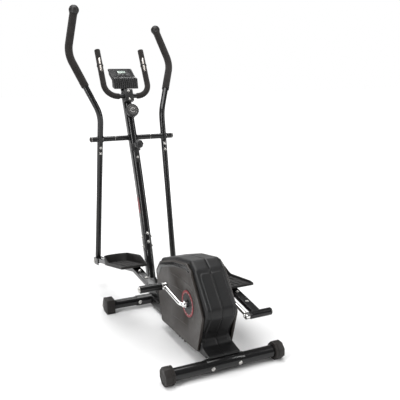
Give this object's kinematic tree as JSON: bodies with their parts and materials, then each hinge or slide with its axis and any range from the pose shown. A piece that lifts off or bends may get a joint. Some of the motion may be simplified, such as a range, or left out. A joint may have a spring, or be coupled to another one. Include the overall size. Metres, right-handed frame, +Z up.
{
  "type": "elliptical trainer",
  "caption": "Rear-drive elliptical trainer: swinging arm levers linked to foot trays and a crank, fixed U handlebar with pulse grips, console and enclosed flywheel.",
  "frame": {"origin": "centre of the object's footprint box, on the floor", "axes": "+Y is the way the user faces, from the drive housing towards the post; +X is the user's right; +Z up"},
  "size_m": [0.691, 1.5116, 1.628],
  "materials": {
    "frame_paint": "gloss black powder coat",
    "black_plastic": "satin black moulded plastic",
    "panel_plastic": "warm dark grey moulded plastic",
    "cap_plastic": "brown-black moulded plastic",
    "chrome": "polished chrome plating",
    "zinc_bolts": "zinc plated",
    "steel": "bare machined steel",
    "iron": "dark cast iron",
    "foam": "matte charcoal foam",
    "ball_rubber": "satin black rubber",
    "tread_plastic": "dark grey grained plastic",
    "drive_plastic": "black nylon",
    "belt": "ribbed black rubber",
    "lcd": "pale green-grey display window",
    "button_rubber": "grey silicone",
    "knob_plastic": "satin black with a grey ring",
    "wheel_plastic": "black nylon"
  },
  "bodies": {
    "frame": {"base_frame": "frame_paint", "rear_stabilizer": "frame_paint", "front_stabilizer": "frame_paint", "front_end_cap_left": "cap_plastic", "front_end_cap_right": "cap_plastic", "front_post": "frame_paint", "housing_left": "black_plastic", "housing_right": "black_plastic", "side_panel_left": "panel_plastic", "side_panel_right": "panel_plastic", "lever_axle": "steel", "axle_cap_left": "cap_plastic", "axle_cap_right": "cap_plastic", "crank_bearing_left": "steel", "crank_bearing_right": "steel", "flywheel_axle": "steel", "drive_belt": "belt", "clamp_cover": "black_plastic", "console_bracket": "frame_paint", "console_back": "black_plastic", "console_face": "black_plastic", "console_lens": "lcd", "tension_base": "black_plastic", "lock_knob_base": "black_plastic"},
    "crankset": {"crank_axle": "steel", "drive_pulley": "drive_plastic", "crank_left": "chrome", "crank_right": "chrome"},
    "flywheel": {"flywheel": "iron"},
    "magnet": {"magnet_bracket": "steel"},
    "tension_dial": {"tension_knob": "knob_plastic"},
    "lock_screw": {"lock_knob": "knob_plastic"},
    "fixed_handlebar": {"handlebar": "frame_paint", "handlebar_foam_left": "foam", "handlebar_foam_right": "foam", "pulse_sensor_left": "chrome", "pulse_sensor_right": "chrome"},
    "lever_left": {"upper_lever_left": "frame_paint", "lower_lever_left": "frame_paint", "lever_foam_left": "foam", "lever_ball_left": "ball_rubber"},
    "pedal_left": {"pedal_arm_left": "frame_paint", "foot_tray_left": "tread_plastic", "pedal_pin_left": "zinc_bolts", "lever_pivot_bolt_left": "zinc_bolts"},
    "rear_cap_left": {"rear_leveling_cap_left": "cap_plastic"},
    "wheel_left": {"transport_wheel_left": "wheel_plastic"},
    "lever_right": {"upper_lever_right": "frame_paint", "lower_lever_right": "frame_paint", "lever_foam_right": "foam", "lever_ball_right": "ball_rubber"},
    "pedal_right": {"pedal_arm_right": "frame_paint", "foot_tray_right": "tread_plastic", "pedal_pin_right": "zinc_bolts", "lever_pivot_bolt_right": "zinc_bolts"},
    "rear_cap_right": {"rear_leveling_cap_right": "cap_plastic"},
    "wheel_right": {"transport_wheel_right": "wheel_plastic"},
    "button_1": {"console_button_1": "button_rubber"},
    "button_2": {"console_button_2": "button_rubber"},
    "button_3": {"console_button_3": "button_rubber"}
  },
  "joints": [
    {"name": "crank_spin", "type": "hinge", "parent": "frame", "child": "crankset", "pos_m": [0, -0.5258, 0.256], "axis": [1, 0, 0], "continuous": true},
    {"name": "flywheel_spin", "type": "hinge", "parent": "frame", "child": "flywheel", "pos_m": [0, -0.2988, 0.212], "axis": [1, 0, 0], "continuous": true},
    {"name": "magnet_lift", "type": "hinge", "parent": "frame", "child": "magnet", "pos_m": [0, -0.2398, 0.31419], "axis": [-1, 0, 0], "range_deg": [-0.1, 5.1]},
    {"name": "tension_turn", "type": "hinge", "parent": "frame", "child": "tension_dial", "pos_m": [0, 0.40395, 1.06023], "axis": [0, -0.9237, 0.3832], "range_deg": [0, 300]},
    {"name": "lock_knob_turn", "type": "hinge", "parent": "frame", "child": "lock_screw", "pos_m": [0, 0.31081, 0.87959], "axis": [0, -0.9353, 0.3537], "range_deg": [-180, 180]},
    {"name": "handlebar_tilt", "type": "hinge", "parent": "frame", "child": "fixed_handlebar", "pos_m": [0, 0.45946, 1.14128], "axis": [1, 0, 0], "range_deg": [-10, 20]},
    {"name": "lever_left_swing", "type": "hinge", "parent": "frame", "child": "lever_left", "pos_m": [-0.19, 0.40603, 0.91], "axis": [1, 0, 0], "range_deg": [-22.2, 0.8]},
    {"name": "lever_right_swing", "type": "hinge", "parent": "frame", "child": "lever_right", "pos_m": [0.19, 0.40603, 0.91], "axis": [1, 0, 0], "range_deg": [-0.9, 22.3]},
    {"name": "pedal_left_pivot", "type": "hinge", "parent": "lever_left", "child": "pedal_left", "pos_m": [-0.19, 0.57114, 0.15074], "axis": [1, 0, 0], "range_deg": [-1.2, 27.5]},
    {"name": "pedal_right_pivot", "type": "hinge", "parent": "lever_right", "child": "pedal_right", "pos_m": [0.19, 0.28308, 0.14279], "axis": [1, 0, 0], "range_deg": [-27.5, 1.2]},
    {"name": "rear_cap_left_turn", "type": "hinge", "parent": "frame", "child": "rear_cap_left", "pos_m": [-0.2823, -0.7168, 0.039], "axis": [1, 0, 0], "range_deg": [-180, 180]},
    {"name": "transport_wheel_left_spin", "type": "hinge", "parent": "frame", "child": "wheel_left", "pos_m": [-0.2603, 0.1752, 0.025], "axis": [1, 0, 0], "continuous": true},
    {"name": "rear_cap_right_turn", "type": "hinge", "parent": "frame", "child": "rear_cap_right", "pos_m": [0.2823, -0.7168, 0.039], "axis": [1, 0, 0], "range_deg": [-180, 180]},
    {"name": "transport_wheel_right_spin", "type": "hinge", "parent": "frame", "child": "wheel_right", "pos_m": [0.2603, 0.1752, 0.025], "axis": [1, 0, 0], "continuous": true},
    {"name": "console_button_1_press", "type": "slide", "parent": "frame", "child": "button_1", "axis": [0, 0.5547, -0.8321], "range_m": [0, 0.0012], "stiffness_N_per_m": 600, "springref_m": -0.0005},
    {"name": "console_button_2_press", "type": "slide", "parent": "frame", "child": "button_2", "axis": [0, 0.5547, -0.8321], "range_m": [0, 0.0012], "stiffness_N_per_m": 600, "springref_m": -0.0005},
    {"name": "console_button_3_press", "type": "slide", "parent": "frame", "child": "button_3", "axis": [0, 0.5547, -0.8321], "range_m": [0, 0.0012], "stiffness_N_per_m": 600, "springref_m": -0.0005}
  ],
  "couplings": [
    {"joint": "flywheel_spin", "follows": "crank_spin", "ratio": 6.5625},
    {"joint": "magnet_lift", "follows": "tension_turn", "ratio": 0.016667},
    {"joint": "lever_right_swing", "follows": "lever_left_swing", "ratio": -1},
    {"joint": "pedal_left_pivot", "follows": "lever_left_swing", "ratio": -1.2252},
    {"joint": "pedal_right_pivot", "follows": "lever_left_swing", "ratio": 1.2252}
  ]
}
